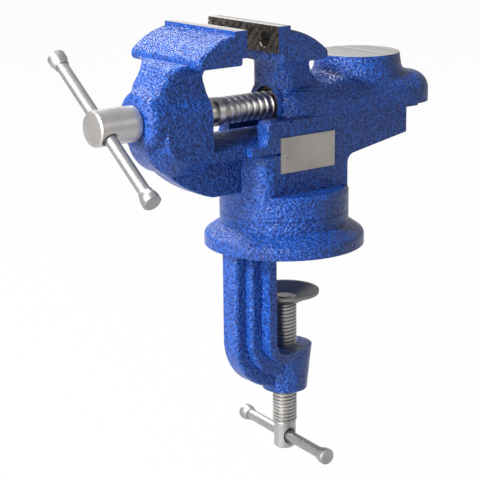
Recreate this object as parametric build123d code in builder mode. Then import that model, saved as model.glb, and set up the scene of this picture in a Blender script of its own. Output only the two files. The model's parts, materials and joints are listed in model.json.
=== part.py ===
"""Clamp-on swivel bench vise with 60 mm jaws, built as separate pieces, in millimetres.

Frame: +Z is up, and the origin is on the swivel axis in the plane of the table top that the vise
is clamped to, which is the underside of the base flange. -X is the front, where the handle is,
+X the rear, where the anvil is. The name plate is on the -Y side.
"""
from build123d import *
import math
import os

os.makedirs("parts", exist_ok=True)

# ---- clearances -------------------------------------------------------------------------------
running_gap = 0.05      # radial clearance of a shaft that turns or slides in its bore
slide_gap = 0.30        # between the faces of the jaw beam and the channel it slides in
face_gap = 0.30         # between turning faces that pass each other
thrust_gap = 0.10       # end play of a washer or ring on its shaft
seat_gap = 0.0          # a pressed piece has the size of its seat

# ---- swivel base --------------------------------------------------------------------------------
flange_radius = 43.2
flange_height = 6.2
flange_cone = 5.8           # height of the cone above the flange
flange_edge_round = 3.0
neck_radius = 34.8
seam_height = 18.3      # where the turning body meets the base
spigot_radius = 22.0
spigot_depth = 8.3
spigot_chamfer = 0.6
base_floor = 3.6        # web under the spigot
pivot_radius = 4.0
pivot_head_radius = 6.5
pivot_head_height = 4.0
pivot_washer_radius = 11.0
pivot_washer_thickness = 1.6
pivot_thread_depth = 14.0
pivot_recess_wall = 1.0 # room round the washer in its recess

# ---- C-frame below the base ---------------------------------------------------------------------
frame_inner_x = -19.6   # face that looks at the clamp screw
frame_plate = 4.6       # inner plate, measured outwards
frame_mid_rib = 7.0
frame_outer_rib = 6.8
frame_plate_half = 18.0
frame_mid_half = 11.0
frame_outer_half = 6.4
frame_inner_bend = 9.0
frame_rib_round = 2.2
frame_arm_gain = 1.12       # the layers are this much thicker in the arm than in the spine
frame_arm_top = -58.7   # upper face of the lower boss
boss_top_radius = 15.0
boss_low_radius = 12.3
frame_boss_height = 24.8

# ---- clamp screw --------------------------------------------------------------------------------
clamp_radius = 6.7
clamp_core_radius = 5.7
clamp_pitch = 2.0
clamp_plain_radius = 6.1
clamp_thread_bottom = -104.0
clamp_end_room = 7.0        # below the axis of its bar
clamp_bar_height = -111.6
clamp_bar_radius = 3.0
clamp_bar_length = 77.0     # between the centres of its knobs
clamp_bar_turn = -5.7       # seen from above, from the Y axis
clamp_knob_radius = 4.4
clamp_knob_length = 7.0
bar_hole_mouth = 0.8        # countersink at the ends of a bar's cross hole

# ---- pressure pad -------------------------------------------------------------------------------
pad_radius = 19.0
pad_rim_height = -27.6
pad_depth = 6.2
pad_thickness = 1.8
pad_lip = 1.6
pad_hub_radius = 7.4
pad_journal_radius = 4.0
pad_ring_thickness = 1.4
pad_ring_radius = 6.4
pad_peen = 0.6              # end of the journal above its ring
pad_dish_round = 5.0
clamp_collar = 1.0          # plain length under the pad
clamp_chamfer = 1.0

# ---- turning body -------------------------------------------------------------------------------
collar_radius = 34.8
collar_height = 12.9        # above the seam
column_rear = 26.5
body_half = 21.5
body_front = -27.3
body_rear = 69.0
body_drop = 21.4            # underside of the body's rear end below the spindle axis
body_slope = 7.4            # the underside falls this much from there to the column
knee_radius = 5.0
wall_drop = 4.8             # top of the body's walls below the spindle axis
body_edge_round = 1.2
wall_front_round = 4.0
nose_round = 3.0
trough_half = 12.0          # open trough above the beam
cheek_front = -37.9         # cheeks beside the beam, below its shoulders
cheek_rise = 5.7            # cheek tops above the beam's underside
cheek_height = 4.7          # front of the cheeks
cheek_round = 5.0
column_front = -15.0        # the box starts here below the cheeks, behind the round front
column_corner = 9.0
collar_chamfer = 2.0
housing_radius = 13.5       # round housing of the spindle nut, inside the table block

# ---- table and anvil ----------------------------------------------------------------------------
table_front = -12.0
table_rear = 88.5
table_thickness = 16.6
table_rise = 11.3           # table above the spindle axis
table_front_half = 20.0
table_rear_half = 28.0
table_wide_x = 60.0
table_corner = 17.0
table_front_corner = 12.0
table_edge_round = 10.0
ledge_rear = 76.5
ledge_thickness = 2.3
ledge_half = 22.5
anvil_x = 51.9
anvil_height = 10.9
anvil_radius = 22.9
anvil_foot_radius = 24.6
anvil_foot_round = 5.0

# ---- jaws ---------------------------------------------------------------------------------------
jaw_half = 30.0
jaw_rise = 44.9             # top of the jaws above the spindle axis
jaw_gap = 20.1              # between the jaw plates as photographed
rear_jaw_face = -26.9
plate_height = 13.8
plate_thickness = 3.0
plate_groove = 0.45
plate_groove_width = 0.9
plate_groove_step = 5.6
jaw_strip = 4.6             # machined strip behind each plate
jaw_step = 2.1              # the strip stands this much above the cast back
jaw_depth = 17.7            # height of the front wings
rear_jaw_depth = 19.4
rear_jaw_length = 33.1      # from the gripping face to the tail
front_jaw_length = 29.7
neck_half = 15.0
rear_neck_front = -12.0
rear_neck_back = 5.0
neck_flare = 5.0            # radius between the rear neck and the wings' underside
rear_neck_corner = 8.0
neck_crease = 3.5           # radius between the sides of the rear neck and the table
neck_foot = 13.0            # radius from the back of the rear neck onto the table
jaw_tail_height = 4.6       # where the back of the wings turns down, above their underside
jaw_back_rise = 2.1         # how far the back bulges above the straight line
jaw_tail_round = 3.0
jaw_low_round = 2.4

# ---- plate screws -------------------------------------------------------------------------------
plate_screw_y = 18.0
plate_screw_drop = 7.3      # below the top of the jaws
plate_screw_radius = 2.0
plate_screw_head = 3.9
plate_screw_head_depth = 1.9
plate_screw_sink = 0.4
plate_screw_length = 13.0
drive_slot_width = 1.0
drive_slot_depth = 0.9

# ---- jaw spindle --------------------------------------------------------------------------------
spindle_z = 76.0
spindle_radius = 7.2
spindle_core_radius = 5.7
spindle_pitch = 4.0
spindle_neck_radius = 6.9
spindle_groove_radius = 5.8
spindle_groove_start = 4.0 # behind the boss
spindle_groove_width = 7.4
spindle_blank = 3.5         # plain length between the groove and the thread
spindle_blank_radius = 7.5
spindle_length = 161.8
spindle_tip = 3.0
head_length = 24.7
head_radius = 9.2
head_chamfer = 0.8
handle_inset = 6.2          # bar axis behind the front of the head
handle_tilt = 36.0
handle_radius = 3.25
handle_length = 96.4        # between the centres of the knobs
knob_radius = 4.8
knob_length = 7.8
knob_cap = 3.0              # solid end beyond the bar
knob_edge = 0.7
knob_crown_share = 0.42
knob_neck_share = 0.12
ring_groove_depth = 1.2
ring_thickness = 1.2
ring_radius = 9.4
ring_opening = 6.0
washer_over = 1.4           # the washer stands this far outside the ring
thrust_washer = 1.6

# ---- moving jaw ---------------------------------------------------------------------------------
boss_reach = 18.3           # the boss stands this far in front of the wings
boss_length = 36.6
boss_radius = 16.5          # also half the width of the flat sides below it
boss_round = 5.0
boss_swell = 8.0            # the neck's rear ends this much above the spindle axis
boss_blend = 6.0            # between the boss and the sides of the neck
belly_setback = 0.5         # the block's front behind the boss's
belly_round = 22.0
belly_drop = 29.0           # underside of the block below the spindle axis
belly_bevel = 8.5
belly_edge_round = 1.5
keel_half = 6.5
keel_round = 1.5
keel_start = 9.0            # the keel's front behind the front of the boss
keel_start_drop = 22.0      # and below the spindle axis
keel_mid_reach = 24.8       # a point on the keel's curve, behind the front of the boss
keel_mid_drop = 35.2
keel_level_reach = 43.7     # where the keel becomes level
keel_drop = 43.5            # level underside of the keel below the spindle axis
keel_length = 55.4          # behind the boss
neck_setback = 6.0          # front of the neck behind the front of the boss
neck_blend = 6.0
neck_edge_round = 4.0
front_flare = 8.0           # radius between the neck's sides and the wings' underside
beam_length = 98.4          # behind the boss
beam_drop = 11.0             # top of the beam below the spindle axis
beam_half = 16.5
beam_slope = 6.4
beam_side = 5.5
relief_half = 8.0           # relief in the beam for the thrust washer, behind the boss
relief_depth = 1.6
relief_length = 5.0
throat_wall = 15.5          # the neck stands this far in front of the gripping face
throat_round = 4.0
throat_depth = 6.2          # upright part of the throat below the wings
neck_sink = 4.8             # the neck reaches this far into the wings
neck_shoulder = 5.0
neck_lean = 5.6
neck_drop = 0.6
neck_start_z = 17.0         # and above the spindle axis
front_neck_half = 13.0
wing_end_round = 2.0
snap = 0.01                 # points nearer than this are the same point
stop_room = 1.0             # the channel is this much longer than the beam's travel needs
overlap = 1.0               # pieces of one casting are sunk this far into each other

# ---- spindle nut --------------------------------------------------------------------------------
nut_radius = 9.8
nut_length = 22.0
spindle_bore = 8.2
nut_recess = 2.5            # face of the nut behind the front of the table
spindle_bore_end = 70.0
nut_screw_radius = 2.5
nut_screw_length = 8.0
nut_screw_depth = 1.6
nut_screw_key = 1.45
nut_screw_key_depth = 2.5
nut_lead = 0.8

# ---- swivel lock, on the far side ---------------------------------------------------------------
lock_drop = 3.7             # axis of the lock screw below the seam
lock_radius = 3.0
lock_head_radius = 4.2
lock_head_start = 40.4
lock_head_length = 9.0
lock_pin_radius = 1.6
lock_pin_length = 15.0
lock_shoe_length = 4.0
lock_pin_share = 0.6
lock_chamfer = 0.5

# ---- name plate ---------------------------------------------------------------------------------
name_plate_length = 36.3
name_plate_x = -1.35
name_plate_height = 18.7
name_plate_drop = 23.45     # middle of the plate below the spindle axis
name_plate_thickness = 0.7
rivet_radius = 1.3
rivet_shank = 0.8
rivet_head = 0.55
rivet_inset = 3.6
rivet_depth = 3.0

# ---- heights and stations that follow from the sizes above ---------------------------------------
flange_cone_top = flange_height + flange_cone
spigot_bottom = seam_height - spigot_depth
boss_bottom = frame_arm_top - frame_boss_height
collar_top = seam_height + collar_height
body_rear_bottom = spindle_z - body_drop
column_knee = body_rear_bottom - body_slope
beam_top = spindle_z - beam_drop
beam_side_z = beam_top - beam_slope
beam_bottom = beam_side_z - beam_side
cheek_top = beam_bottom + cheek_rise
cheek_low = cheek_top - cheek_height
nose_top = cheek_low
wall_top = spindle_z - wall_drop
table_top = spindle_z + table_rise
table_bottom = table_top - table_thickness
anvil_top = table_top + anvil_height
jaw_top = spindle_z + jaw_rise
jaw_underside = jaw_top - jaw_depth
rear_jaw_underside = jaw_top - rear_jaw_depth
rear_jaw_back = rear_jaw_face + rear_jaw_length
front_jaw_back = rear_jaw_face - jaw_gap - front_jaw_length
plate_screw_z = jaw_top - plate_screw_drop
boss_front = front_jaw_back - boss_reach
boss_rear = boss_front + boss_length
belly_low = spindle_z - belly_drop
keel_front = boss_front + keel_start
keel_front_z = spindle_z - keel_start_drop
keel_mid = boss_front + keel_mid_reach
keel_mid_z = spindle_z - keel_mid_drop
keel_level = boss_front + keel_level_reach
keel_bottom = spindle_z - keel_drop
neck_front_x = boss_front + neck_setback
spindle_groove_front = boss_rear + spindle_groove_start
spindle_groove_rear = spindle_groove_front + spindle_groove_width
head_front = boss_front - thrust_gap - head_length
spindle_end = head_front + spindle_length
handle_x = head_front + handle_inset
beam_rear = boss_rear + beam_length
keel_rear = boss_rear + keel_length
throat_x = rear_jaw_face - jaw_gap - throat_wall
throat_low_z = jaw_underside - throat_depth
neck_top = jaw_underside + neck_sink
neck_front_z = spindle_z + neck_start_z
nut_front = table_front + nut_recess
lock_z = seam_height - lock_drop
plate_x0 = name_plate_x - name_plate_length / 2
plate_x1 = name_plate_x + name_plate_length / 2
plate_z0 = spindle_z - name_plate_drop - name_plate_height / 2
plate_z1 = spindle_z - name_plate_drop + name_plate_height / 2
clamp_end = clamp_bar_height - clamp_end_room


# ---- shared shapes ------------------------------------------------------------------------------
def thread_ridge(core, crest, pitch, start, length):
    """Solid of a helical ridge about Z, from start upwards, sunk a little into its core."""
    sink = 0.25
    root_half = 0.40 * pitch
    crest_half = 0.14 * pitch
    with BuildLine(mode=Mode.PRIVATE) as path:
        Helix(pitch, length, core, center=(0, 0, start))
    section_plane = Plane(origin=path.line @ 0, x_dir=(1, 0, 0), z_dir=path.line % 0)
    with BuildPart(mode=Mode.PRIVATE) as ridge:
        with BuildSketch(section_plane):
            with BuildLine():
                Polyline(
                    (-sink, -root_half), (crest - core, -crest_half),
                    (crest - core, crest_half), (-sink, root_half), close=True,
                )
            make_face()
        sweep(path=path.line, is_frenet=True)
    return ridge.part


def square_to_x(x):
    """Sketch plane at a station along X: its x is the row's Y and its y is Z."""
    return Plane(origin=(x, 0, 0), x_dir=(0, 1, 0), z_dir=(1, 0, 0))


def along_x(x, z):
    """Plane whose normal is +X, with its origin on the mid plane at a height."""
    return Plane(origin=(x, 0, z), x_dir=(0, 1, 0), z_dir=(1, 0, 0))


def round_rod(radius, length, edge, rim):
    """Cylinder about Z, from z = 0 upwards, with one end edge broken: rim 0 is the lower, 1 the upper."""
    with BuildPart() as rod:
        Cylinder(radius, length, align=(Align.CENTER, Align.CENTER, Align.MIN))
        chamfer(rod.edges().filter_by(GeomType.CIRCLE).sort_by(Axis.Z)[rim], edge)
    return rod.part


def bar_hole(line, bar_radius, head):
    """Cross hole for a tommy bar through a round head, with countersunk mouths."""
    bore = bar_radius + running_gap
    mouth = bore + bar_hole_mouth
    mouth_start = math.sqrt(head ** 2 - mouth ** 2) - bar_hole_mouth
    with BuildPart() as hole:
        Cylinder(bore, 4 * head)
        for side in (1, -1):
            with BuildSketch(Plane.XY.offset(side * mouth_start)):
                Circle(bore)
            with BuildSketch(Plane.XY.offset(side * (mouth_start + head))):
                Circle(bore + head)
            loft()
    return hole.part.moved(line.location)


# ---- swivel base with its C-frame, one casting ----------------------------------------------------
def frame_layer(offset_out, thickness, half):
    """One layer of the J-shaped frame: down the spine, round the bend and in to the screw axis."""
    near = frame_inner_x - offset_out
    far = near - thickness
    upper = frame_arm_top - offset_out * frame_arm_gain
    lower = upper - thickness * frame_arm_gain
    bend_x = frame_inner_x + frame_inner_bend
    bend_z = frame_arm_top + frame_inner_bend
    bend = (bend_x, bend_z)
    root = flange_height / 2
    with BuildPart() as layer:
        with BuildSketch(Plane.XZ):
            with BuildLine():
                Line((near, root), (near, bend_z))
                EllipticalCenterArc(bend, bend_x - near, bend_z - upper, start_angle=180, arc_size=90)
                Line((bend_x, upper), (0, upper))
                Line((0, upper), (0, lower))
                Line((0, lower), (bend_x, lower))
                EllipticalCenterArc(bend, bend_x - far, bend_z - lower, start_angle=180, arc_size=90)
                Line((far, bend_z), (far, root))
                Line((far, root), (near, root))
            make_face()
        extrude(amount=half, both=True)
        if half < frame_plate_half:
            sides = layer.faces().filter_by(Axis.Y)
            fillet(sides.edges(), frame_rib_round)
    return layer.part


def frame_plan():
    """What the J may cover seen from above: wide at the spine, tangent-sided to the lower boss."""
    outer = frame_inner_x - frame_plate - frame_mid_rib - frame_outer_rib
    depth = flange_height - boss_bottom
    with BuildPart() as plan:
        with BuildSketch(Plane.XY.offset(boss_bottom)):
            with BuildLine():
                Polyline(
                    (outer - overlap, -frame_plate_half), (frame_inner_x, -frame_plate_half),
                    (0, -boss_top_radius), (0, boss_top_radius),
                    (frame_inner_x, frame_plate_half), (outer - overlap, frame_plate_half), close=True,
                )
            make_face()
        extrude(amount=depth)
    return plan.part


mid_start = frame_plate - frame_rib_round
outer_start = frame_plate + frame_mid_rib - frame_rib_round
inner_plate = frame_layer(0, frame_plate, frame_plate_half)
mid_rib = frame_layer(mid_start, frame_mid_rib + frame_rib_round, frame_mid_half)
outer_rib = frame_layer(outer_start, frame_outer_rib + frame_rib_round, frame_outer_half)
plan_limit = frame_plan()
recess_radius = pivot_washer_radius + pivot_recess_wall
floor_top = spigot_bottom - face_gap
floor_bottom = floor_top - base_floor

with BuildPart() as clamp_frame:
    add(inner_plate)
    add(mid_rib)
    add(outer_rib)
    add(plan_limit, mode=Mode.INTERSECT)
    with Locations((0, 0, boss_bottom)):
        Cone(
            boss_low_radius, boss_top_radius, frame_arm_top - boss_bottom,
            align=(Align.CENTER, Align.CENTER, Align.MIN),
        )
    with BuildSketch(Plane.XZ) as base_profile:
        with BuildLine():
            Polyline(
                (recess_radius, 0), (flange_radius, 0), (flange_radius, flange_height),
                (neck_radius, flange_cone_top), (neck_radius, seam_height),
                (spigot_radius + running_gap, seam_height), (spigot_radius + running_gap, floor_top),
                (pivot_radius + running_gap, floor_top), (pivot_radius + running_gap, floor_bottom),
                (recess_radius, floor_bottom), close=True,
            )
        make_face()
        corner = base_profile.vertices().sort_by_distance((flange_radius, flange_height))[0]
        fillet(corner, flange_edge_round)
    revolve(axis=Axis.Z)
    with Locations((0, 0, boss_bottom)):
        Cylinder(
            clamp_radius + running_gap, frame_arm_top - boss_bottom + frame_inner_bend,
            align=(Align.CENTER, Align.CENTER, Align.MIN), mode=Mode.SUBTRACT,
        )
    with BuildSketch(Plane.XZ.offset(-spigot_radius)):
        with Locations((0, lock_z)):
            Circle(lock_radius + running_gap)
    extrude(amount=-(flange_radius - spigot_radius), mode=Mode.SUBTRACT)
clamp_frame.part.label = "clamp_frame"
export_step(clamp_frame.part, "parts/clamp_frame.step")


# ---- outlines shared by the jaw beam and the channel that it slides in ------------------------------
def beam_outline():
    """Section of the jaw beam seen along X: a flat bar with a crowned top."""
    ThreePointArc((-beam_half, beam_side_z), (0, beam_top), (beam_half, beam_side_z))
    Polyline(
        (beam_half, beam_side_z), (beam_half, beam_bottom), (-beam_half, beam_bottom),
        (-beam_half, beam_side_z),
    )


def jaw_profile(seat, tail_x, underside):
    """Side of a pair of wings: machined strip, shallow round back and rounded tail."""
    way = 1 if tail_x > seat else -1
    strip_x = seat + way * jaw_strip
    back = (strip_x, jaw_top - jaw_step)
    tail = (tail_x, underside + jaw_tail_height)
    with BuildSketch(Plane.XZ) as profile:
        with BuildLine():
            Polyline(
                (tail_x, underside), (seat, underside), (seat, jaw_top), (strip_x, jaw_top), back,
            )
            SagittaArc(back, tail, way * jaw_back_rise)
            Line(tail, (tail_x, underside))
        make_face()
        fillet(profile.vertices().sort_by_distance(tail)[0], jaw_tail_round)
        fillet(profile.vertices().sort_by_distance((tail_x, underside))[0], jaw_low_round)
    return profile.sketch


def wings(seat, tail_x, underside):
    """Both wings of a jaw in one, with the edges at their ends broken."""
    profile = jaw_profile(seat, tail_x, underside)
    with BuildPart() as jaw:
        extrude(to_extrude=profile, amount=jaw_half, both=True)
        ends = jaw.faces().sort_by(Axis.Y)
        back = [e for f in (ends[0], ends[-1]) for e in f.edges() if e.center().Z < jaw_top - jaw_step]
        back = [e for e in back if abs(e.center().X - seat) > snap]
        fillet(back, wing_end_round)
    return jaw.part


# ---- turning body with the fixed jaw, table and anvil, one casting ----------------------------------
def body_side():
    """Column and lower box in one, seen from the name plate side, with the cheeks at the front."""
    low = seam_height + face_gap
    curl = (body_front - cheek_round, cheek_top + cheek_round)
    with BuildPart() as side:
        with BuildSketch(Plane.XZ) as outline:
            with BuildLine():
                Polyline(
                    (cheek_front, cheek_low), (column_front, cheek_low), (column_front, low),
                    (column_rear, low), (column_rear, column_knee), (body_rear, body_rear_bottom),
                    (body_rear, wall_top), (body_front, wall_top), (body_front, curl[1]),
                )
                CenterArc(curl, cheek_round, 0, -90)
                Polyline((curl[0], cheek_top), (cheek_front, cheek_top), (cheek_front, cheek_low))
            make_face()
            knee = outline.vertices().sort_by_distance((column_rear, column_knee))[0]
            fillet(knee, knee_radius)
            top_corner = outline.vertices().sort_by_distance((body_front, wall_top))[0]
            fillet(top_corner, wall_front_round)
        extrude(amount=body_half, both=True)
        tops = side.edges().filter_by(Axis.X).group_by(Axis.Z)[-1]
        fillet(tops, body_edge_round)
    return side.part


def round_front():
    """Front of the column, a bulge with the collar's radius, soft corners and a rounded top edge."""
    low = seam_height + face_gap
    with BuildPart() as bulge:
        with BuildSketch(Plane.XY.offset(low)) as plan:
            Circle(collar_radius)
            Rectangle(
                collar_radius + column_rear, 2 * body_half,
                align=(Align.MAX, Align.CENTER), mode=Mode.INTERSECT,
            )
            fillet(plan.vertices().group_by(Axis.X)[0], column_corner)
        extrude(amount=nose_top - low)
        fillet(bulge.faces().sort_by(Axis.Z)[-1].edges().sort_by(Axis.X)[0], nose_round)
    return bulge.part


def table_block():
    """Table of the anvil: it widens to the rear, and its upper edge is well rounded."""
    with BuildPart() as table:
        with BuildSketch(Plane.XY.offset(table_bottom)) as plan:
            with BuildLine():
                Polyline(
                    (table_front, -table_front_half), (table_wide_x, -table_rear_half),
                    (table_rear, -table_rear_half), (table_rear, table_rear_half),
                    (table_wide_x, table_rear_half), (table_front, table_front_half), close=True,
                )
            make_face()
            fillet(plan.vertices().group_by(Axis.X)[-1], table_corner)
            fillet(plan.vertices().group_by(Axis.X)[0], table_front_corner)
        extrude(amount=table_top - table_bottom)
        fillet(table.faces().sort_by(Axis.Z)[-1].edges(), table_edge_round)
    return table.part


def anvil():
    """Round anvil, slightly tapered, reaching down into the table."""
    low = table_bottom + overlap
    taper = (anvil_foot_radius - anvil_radius) / anvil_height
    with BuildPart() as post:
        with Locations((anvil_x, 0, low)):
            Cone(
                anvil_radius + taper * (anvil_top - low), anvil_radius, anvil_top - low,
                align=(Align.CENTER, Align.CENTER, Align.MIN),
            )
    return post.part


def fixed_neck():
    """Neck of the rear jaw: its front corners are round, and it sweeps rearwards onto the table."""
    root = table_top - overlap
    seam = rear_jaw_underside + overlap
    foot_x = rear_neck_back + neck_foot
    with BuildSketch(Plane.XZ) as side:
        with BuildLine():
            Polyline(
                (foot_x, root), (foot_x, table_bottom), (rear_neck_front, table_bottom),
                (rear_neck_front, seam), (rear_neck_back, seam), (rear_neck_back, root + neck_foot),
            )
            CenterArc((foot_x, root + neck_foot), neck_foot, 180, 90)
        make_face()
    with BuildSketch(Plane.XY.offset(rear_jaw_underside - neck_flare - overlap)) as plan:
        with Locations(((rear_neck_front + rear_neck_back) / 2, 0)):
            Rectangle(rear_neck_back - rear_neck_front, 2 * neck_half)
        fillet(plan.vertices().group_by(Axis.X)[0], rear_neck_corner)
    reach = 2 * neck_half
    with BuildPart() as flare:
        extrude(to_extrude=plan.sketch, amount=neck_flare + overlap)
        with Locations((rear_neck_front, 0, rear_jaw_underside)):
            Box(2 * reach, 2 * reach, overlap, align=(Align.CENTER, Align.CENTER, Align.MIN))
        level = [e for e in flare.edges() if abs(e.center().Z - rear_jaw_underside) < snap]
        level = [e for e in level if abs(e.center().X - rear_neck_front) < reach - snap]
        fillet([e for e in level if abs(e.center().Y) < reach - snap], neck_flare)
        with Locations((rear_neck_back, 0, rear_jaw_underside + overlap)):
            Box(
                rear_neck_back - rear_neck_front + neck_flare, 2 * (neck_half + neck_flare), reach,
                align=(Align.MAX, Align.CENTER, Align.MAX), mode=Mode.INTERSECT,
            )
    with BuildPart() as neck:
        extrude(to_extrude=side.sketch, amount=neck_half, both=True)
        front = neck.edges().filter_by(Axis.Z).group_by(Axis.X)[0]
        fillet(front, rear_neck_corner)
        add(flare.part)
    return neck.part


def anvil_table():
    """Table with the anvil and the rear jaw's neck, which both flow into it."""
    with BuildPart() as top:
        add(table_block())
        add(anvil())
        foot = []
        for edge in top.edges():
            middle = edge @ 0.5
            out = math.hypot(middle.X - anvil_x, middle.Y)
            if anvil_radius < out < anvil_foot_radius + overlap and middle.Z < table_top + snap:
                foot.append(edge)
        fillet([e for e in foot if (e @ 0.5).Z > table_bottom + 2 * overlap], anvil_foot_round)
        add(fixed_neck())
        sides = [e for e in top.edges() if abs(abs(e.center().Y) - neck_half) < snap]
        sides = [e for e in sides if table_bottom + overlap < e.center().Z < table_top + snap]
        fillet([e for e in sides if e.center().X < rear_neck_back + neck_foot], neck_crease)
    return top.part


body_low = seam_height + face_gap
channel_rear = beam_rear + jaw_gap + stop_room
keel_slot_rear = keel_rear + jaw_gap + stop_room
plate_mid_z = (plate_z0 + plate_z1) / 2
rivet_places = [(plate_x0 + rivet_inset, plate_mid_z), (plate_x1 - rivet_inset, plate_mid_z)]
nut_screw_x = nut_front + nut_length / 2
collar = round_rod(collar_radius, collar_top - body_low, collar_chamfer, 1).moved(Location((0, 0, body_low)))
side_block = body_side()
front_bulge = round_front()
table_part = anvil_table()
rear_jaw = wings(rear_jaw_face + plate_thickness, rear_jaw_back, rear_jaw_underside)
spigot_rod = round_rod(spigot_radius, body_low - spigot_bottom + overlap, spigot_chamfer, 0)

with BuildPart() as vise_body:
    add(side_block)
    add(front_bulge)
    add(collar)
    with Locations(((table_front + ledge_rear) / 2, 0, table_bottom)):
        Box(
            ledge_rear - table_front, 2 * ledge_half, ledge_thickness,
            align=(Align.CENTER, Align.CENTER, Align.MAX),
        )
    add(table_part)
    add(rear_jaw)
    with BuildSketch(along_x(table_front, spindle_z)):
        Circle(housing_radius)
    extrude(amount=spindle_bore_end - table_front)
    add(spigot_rod.moved(Location((0, 0, spigot_bottom))))
    # channel for the jaw beam, with the slot for its keel below and the open trough above
    with BuildSketch(square_to_x(body_front - collar_radius)):
        with BuildLine():
            beam_outline()
        make_face()
        offset(amount=slide_gap, kind=Kind.INTERSECTION)
    extrude(amount=channel_rear - body_front + collar_radius, mode=Mode.SUBTRACT)
    with Locations((keel_slot_rear, 0, keel_bottom - slide_gap)):
        Box(
            2 * collar_radius + keel_slot_rear, 2 * (keel_half + slide_gap),
            beam_bottom - keel_bottom + slide_gap,
            align=(Align.MAX, Align.CENTER, Align.MIN), mode=Mode.SUBTRACT,
        )
    with Locations((table_front, 0, beam_side_z)):
        Box(
            collar_radius, 2 * trough_half, wall_top - beam_side_z + overlap,
            align=(Align.MAX, Align.CENTER, Align.MIN), mode=Mode.SUBTRACT,
        )
    # seat of the nut from the front, and the bore that the spindle runs on into
    with BuildSketch(along_x(table_front, spindle_z)):
        Circle(nut_radius + seat_gap)
    extrude(amount=nut_front + nut_length - table_front, mode=Mode.SUBTRACT)
    with BuildSketch(along_x(table_front, spindle_z)):
        Circle(spindle_bore)
    extrude(amount=spindle_bore_end - table_front, mode=Mode.SUBTRACT)
    # fixing holes: jaw plate screws, rivets, nut screw and pivot bolt
    with BuildSketch(square_to_x(rear_jaw_face)):
        with Locations((-plate_screw_y, plate_screw_z), (plate_screw_y, plate_screw_z)):
            Circle(plate_screw_radius)
    extrude(amount=plate_screw_sink + plate_screw_length, mode=Mode.SUBTRACT)
    with BuildSketch(Plane.XZ.offset(body_half)):
        with Locations(*rivet_places):
            Circle(rivet_shank)
    extrude(amount=-rivet_depth, mode=Mode.SUBTRACT)
    with BuildSketch(Plane.XZ.offset(-table_rear_half)):
        with Locations((nut_screw_x, spindle_z)):
            Circle(nut_screw_radius)
    extrude(amount=table_rear_half - nut_radius + nut_screw_depth, mode=Mode.SUBTRACT)
    with Locations((0, 0, spigot_bottom)):
        Cylinder(
            pivot_radius, pivot_thread_depth,
            align=(Align.CENTER, Align.CENTER, Align.MIN), mode=Mode.SUBTRACT,
        )
vise_body.part.label = "vise_body"
export_step(vise_body.part, "parts/vise_body.step")


# ---- moving jaw, one casting: wings, neck, boss, belly, beam and keel --------------------------------
def neck_block():
    """Neck seen from the handle's end and from the side, crossed: it flares into the wings."""
    flare_z = jaw_underside - front_flare
    outer = front_neck_half + front_flare
    with BuildSketch(square_to_x(neck_front_x)) as front:
        with BuildLine():
            Polyline((-outer, jaw_underside), (-outer, neck_top), (outer, neck_top), (outer, jaw_underside))
            CenterArc((outer, flare_z), front_flare, 90, 90)
            Polyline(
                (front_neck_half, flare_z), (front_neck_half, spindle_z),
                (-front_neck_half, spindle_z), (-front_neck_half, flare_z),
            )
            CenterArc((-outer, flare_z), front_flare, 0, 90)
        make_face()
    with BuildSketch(Plane.XZ) as side:
        with BuildLine():
            Polyline(
                (neck_front_x, spindle_z), (neck_front_x, neck_front_z),
                (front_jaw_back - neck_lean, jaw_underside - neck_drop),
                (front_jaw_back + neck_shoulder, neck_top), (throat_x + throat_round, neck_top),
                (throat_x + throat_round, jaw_underside),
            )
            CenterArc((throat_x + throat_round, jaw_underside - throat_round), throat_round, 90, 90)
            Polyline(
                (throat_x, jaw_underside - throat_round), (throat_x, throat_low_z),
                (boss_rear, spindle_z + boss_swell), (boss_rear, spindle_z), (neck_front_x, spindle_z),
            )
        make_face()
        for place in ((neck_front_x, neck_front_z), (throat_x, throat_low_z)):
            fillet(side.vertices().sort_by_distance(place)[0], neck_blend)
    with BuildPart() as neck:
        extrude(to_extrude=front.sketch, amount=boss_rear - neck_front_x)
        extrude(to_extrude=side.sketch, amount=2 * jaw_half, both=True, mode=Mode.INTERSECT)
        front_edges = [
            e for e in neck.edges()
            if abs(abs(e.center().Y) - front_neck_half) < snap and e.center().X < neck_front_x + neck_blend
            and e.center().Z < jaw_underside - front_flare
        ]
        fillet(front_edges, neck_edge_round)
    return neck.part


def boss():
    """Round boss for the spindle, with a rounded front edge."""
    with BuildPart() as round_boss:
        with BuildSketch(along_x(boss_front, spindle_z)):
            Circle(boss_radius)
        extrude(amount=boss_length)
        fillet(round_boss.faces().sort_by(Axis.X)[0].edges(), boss_round)
    return round_boss.part


def belly():
    """Lower block of the jaw: flat sides, a round front and wide bevels towards the keel."""
    front_x = boss_front + belly_setback
    round_x = front_x + belly_round
    with BuildPart() as block:
        with BuildSketch(Plane.XZ):
            with BuildLine():
                Polyline(
                    (front_x, belly_low + belly_round), (front_x, spindle_z), (boss_rear, spindle_z),
                    (boss_rear, belly_low), (round_x, belly_low),
                )
                CenterArc((round_x, belly_low + belly_round), belly_round, 270, -90)
            make_face()
        extrude(amount=boss_radius, both=True)
        rims = [
            e for e in block.edges()
            if abs(abs(e.center().Y) - boss_radius) < snap
            and e.center().Z < spindle_z - snap and e.center().X < boss_rear - snap
        ]
        chamfer(rims, belly_bevel)
        softened = block.edges().filter_by(
            lambda e: abs(abs(e.center().Y) - boss_radius + belly_bevel) < snap
            and e.center().Z < spindle_z - snap and e.center().X < boss_rear - snap
        )
        fillet(softened, belly_edge_round)
    return block.part


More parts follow.
